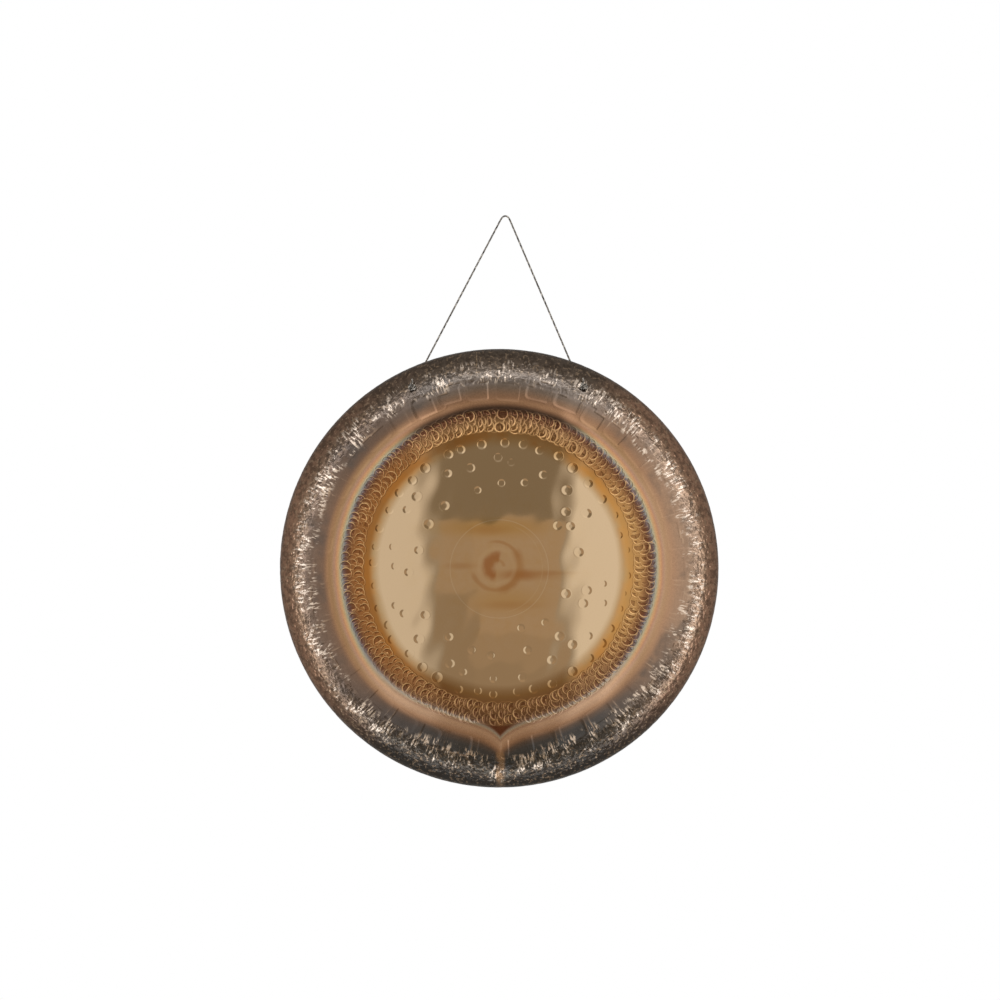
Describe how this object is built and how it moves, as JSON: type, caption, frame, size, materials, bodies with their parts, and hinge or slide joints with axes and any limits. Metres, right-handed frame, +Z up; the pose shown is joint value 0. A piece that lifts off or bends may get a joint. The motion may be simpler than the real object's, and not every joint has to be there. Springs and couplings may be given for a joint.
{
  "type": "tam tam gong",
  "caption": "Round hammered bronze tam tam gong with a shallow turned-back rim, hung face-on from a thin knotted cord over a hook.",
  "frame": {"origin": "underside of the cord's bend, where the hook bears", "axes": "+Z up; the gong's face looks towards -Y and its open back towards +Y; +X to the right of someone facing the gong"},
  "size_m": [0.6097, 0.1143, 0.797],
  "materials": {
    "bronze": "hammered and part-lathed bronze, polished centre, oxidised shoulder and rim",
    "cord": "twisted black and white synthetic cord"
  },
  "bodies": {
    "cord": {"hanging_cord": "cord"},
    "gong": {"gong_disc": "bronze", "left_cord_tail": "cord", "right_cord_tail": "cord", "left_knot": "cord", "right_knot": "cord"}
  },
  "joints": [
    {"name": "gong_swing", "type": "hinge", "parent": "cord", "child": "gong", "pos_m": [-0.0068, 0, -0.2055], "axis": [0.9997, 0, 0.0236], "range_deg": [-30, 30]}
  ]
}
